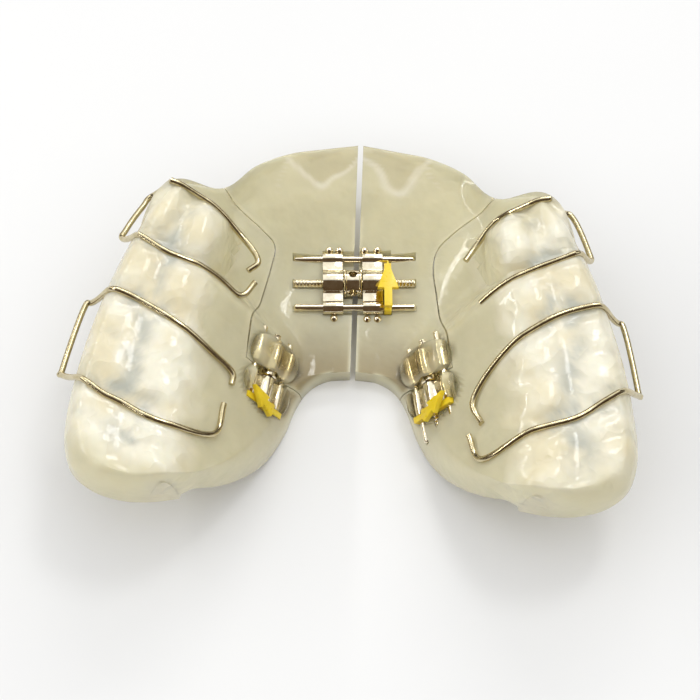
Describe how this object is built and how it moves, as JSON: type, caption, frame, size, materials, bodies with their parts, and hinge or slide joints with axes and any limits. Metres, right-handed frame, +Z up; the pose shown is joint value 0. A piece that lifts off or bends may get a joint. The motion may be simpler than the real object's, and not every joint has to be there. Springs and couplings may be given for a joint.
{
  "type": "sagittal expander",
  "caption": "Removable upper-arch dental expander: a clear acrylic plate sawn into segments, expansion screws with arrow tabs, and wire clasps at the cheeks.",
  "frame": {"origin": "on the surface that the plate rests on, under the middle of the object's box", "axes": "+X across the arch to the viewer's right, +Y to the front teeth, +Z up towards the biting side"},
  "size_m": [0.0644, 0.0454, 0.0156],
  "materials": {
    "clear_acrylic": "milky clear, slightly yellow, polished",
    "polished_steel": "bright turned",
    "clasp_wire": "drawn, bright",
    "yellow_plastic": "moulded"
  },
  "bodies": {
    "anterior_left": {"anterior_left_plate": "clear_acrylic", "transverse_screw_left_housing": "polished_steel", "left_sagittal_screw_front_housing": "polished_steel"},
    "transverse_pins": {"transverse_screw_rear_pin": "polished_steel", "transverse_screw_front_pin": "polished_steel"},
    "transverse_spindle": {"transverse_screw_spindle": "polished_steel"},
    "anterior_right": {"anterior_right_plate": "clear_acrylic", "transverse_screw_right_housing": "polished_steel", "transverse_screw_arrow_tab": "yellow_plastic", "right_sagittal_screw_front_housing": "polished_steel"},
    "left_sagittal_pins": {"left_sagittal_screw_lower_pin": "polished_steel", "left_sagittal_screw_upper_pin": "polished_steel"},
    "left_sagittal_spindle": {"left_sagittal_screw_spindle": "polished_steel"},
    "posterior_left": {"posterior_left_plate": "clear_acrylic", "left_sagittal_screw_rear_housing": "polished_steel", "left_sagittal_screw_arrow_tab": "yellow_plastic", "left_front_clasp": "clasp_wire", "left_rear_clasp": "clasp_wire"},
    "right_sagittal_pins": {"right_sagittal_screw_lower_pin": "polished_steel", "right_sagittal_screw_upper_pin": "polished_steel"},
    "right_sagittal_spindle": {"right_sagittal_screw_spindle": "polished_steel"},
    "posterior_right": {"posterior_right_plate": "clear_acrylic", "right_sagittal_screw_rear_housing": "polished_steel", "right_sagittal_screw_arrow_tab": "yellow_plastic", "right_front_clasp": "clasp_wire", "right_rear_clasp": "clasp_wire"}
  },
  "joints": [
    {"name": "transverse_pins_slide", "type": "slide", "parent": "anterior_left", "child": "transverse_pins", "axis": [0.9991, 0.0419, 0], "range_m": [0, 0.003]},
    {"name": "transverse_spindle_turn", "type": "hinge", "parent": "transverse_pins", "child": "transverse_spindle", "pos_m": [-0.00002, 0.00775, 0.0026], "axis": [0.9991, 0.0419, 0], "range_deg": [0, 2700]},
    {"name": "transverse_right_slide", "type": "slide", "parent": "transverse_pins", "child": "anterior_right", "axis": [0.9991, 0.0419, 0], "range_m": [0, 0.003]},
    {"name": "left_sagittal_pins_slide", "type": "slide", "parent": "anterior_left", "child": "left_sagittal_pins", "axis": [-0.1959, -0.9806, 0], "range_m": [0, 0.0015]},
    {"name": "left_sagittal_spindle_turn", "type": "hinge", "parent": "left_sagittal_pins", "child": "left_sagittal_spindle", "pos_m": [-0.00927, -0.00535, 0.0052], "axis": [-0.1959, -0.9806, 0], "range_deg": [0, 1350]},
    {"name": "left_posterior_slide", "type": "slide", "parent": "left_sagittal_pins", "child": "posterior_left", "axis": [-0.1959, -0.9806, 0], "range_m": [0, 0.0015]},
    {"name": "right_sagittal_pins_slide", "type": "slide", "parent": "anterior_right", "child": "right_sagittal_pins", "axis": [0.1959, -0.9806, 0], "range_m": [0, 0.0015]},
    {"name": "right_sagittal_spindle_turn", "type": "hinge", "parent": "right_sagittal_pins", "child": "right_sagittal_spindle", "pos_m": [0.00903, -0.00515, 0.0049], "axis": [0.1959, -0.9806, 0], "range_deg": [0, 1350]},
    {"name": "right_posterior_slide", "type": "slide", "parent": "right_sagittal_pins", "child": "posterior_right", "axis": [0.1959, -0.9806, 0], "range_m": [0, 0.0015]}
  ],
  "couplings": [
    {"joint": "transverse_spindle_turn", "follows": "transverse_pins_slide", "rad_per_m": 15708},
    {"joint": "transverse_right_slide", "follows": "transverse_pins_slide", "ratio": 1},
    {"joint": "left_sagittal_spindle_turn", "follows": "left_sagittal_pins_slide", "rad_per_m": 15708},
    {"joint": "left_posterior_slide", "follows": "left_sagittal_pins_slide", "ratio": 1},
    {"joint": "right_sagittal_spindle_turn", "follows": "right_sagittal_pins_slide", "rad_per_m": 15708},
    {"joint": "right_posterior_slide", "follows": "right_sagittal_pins_slide", "ratio": 1}
  ]
}
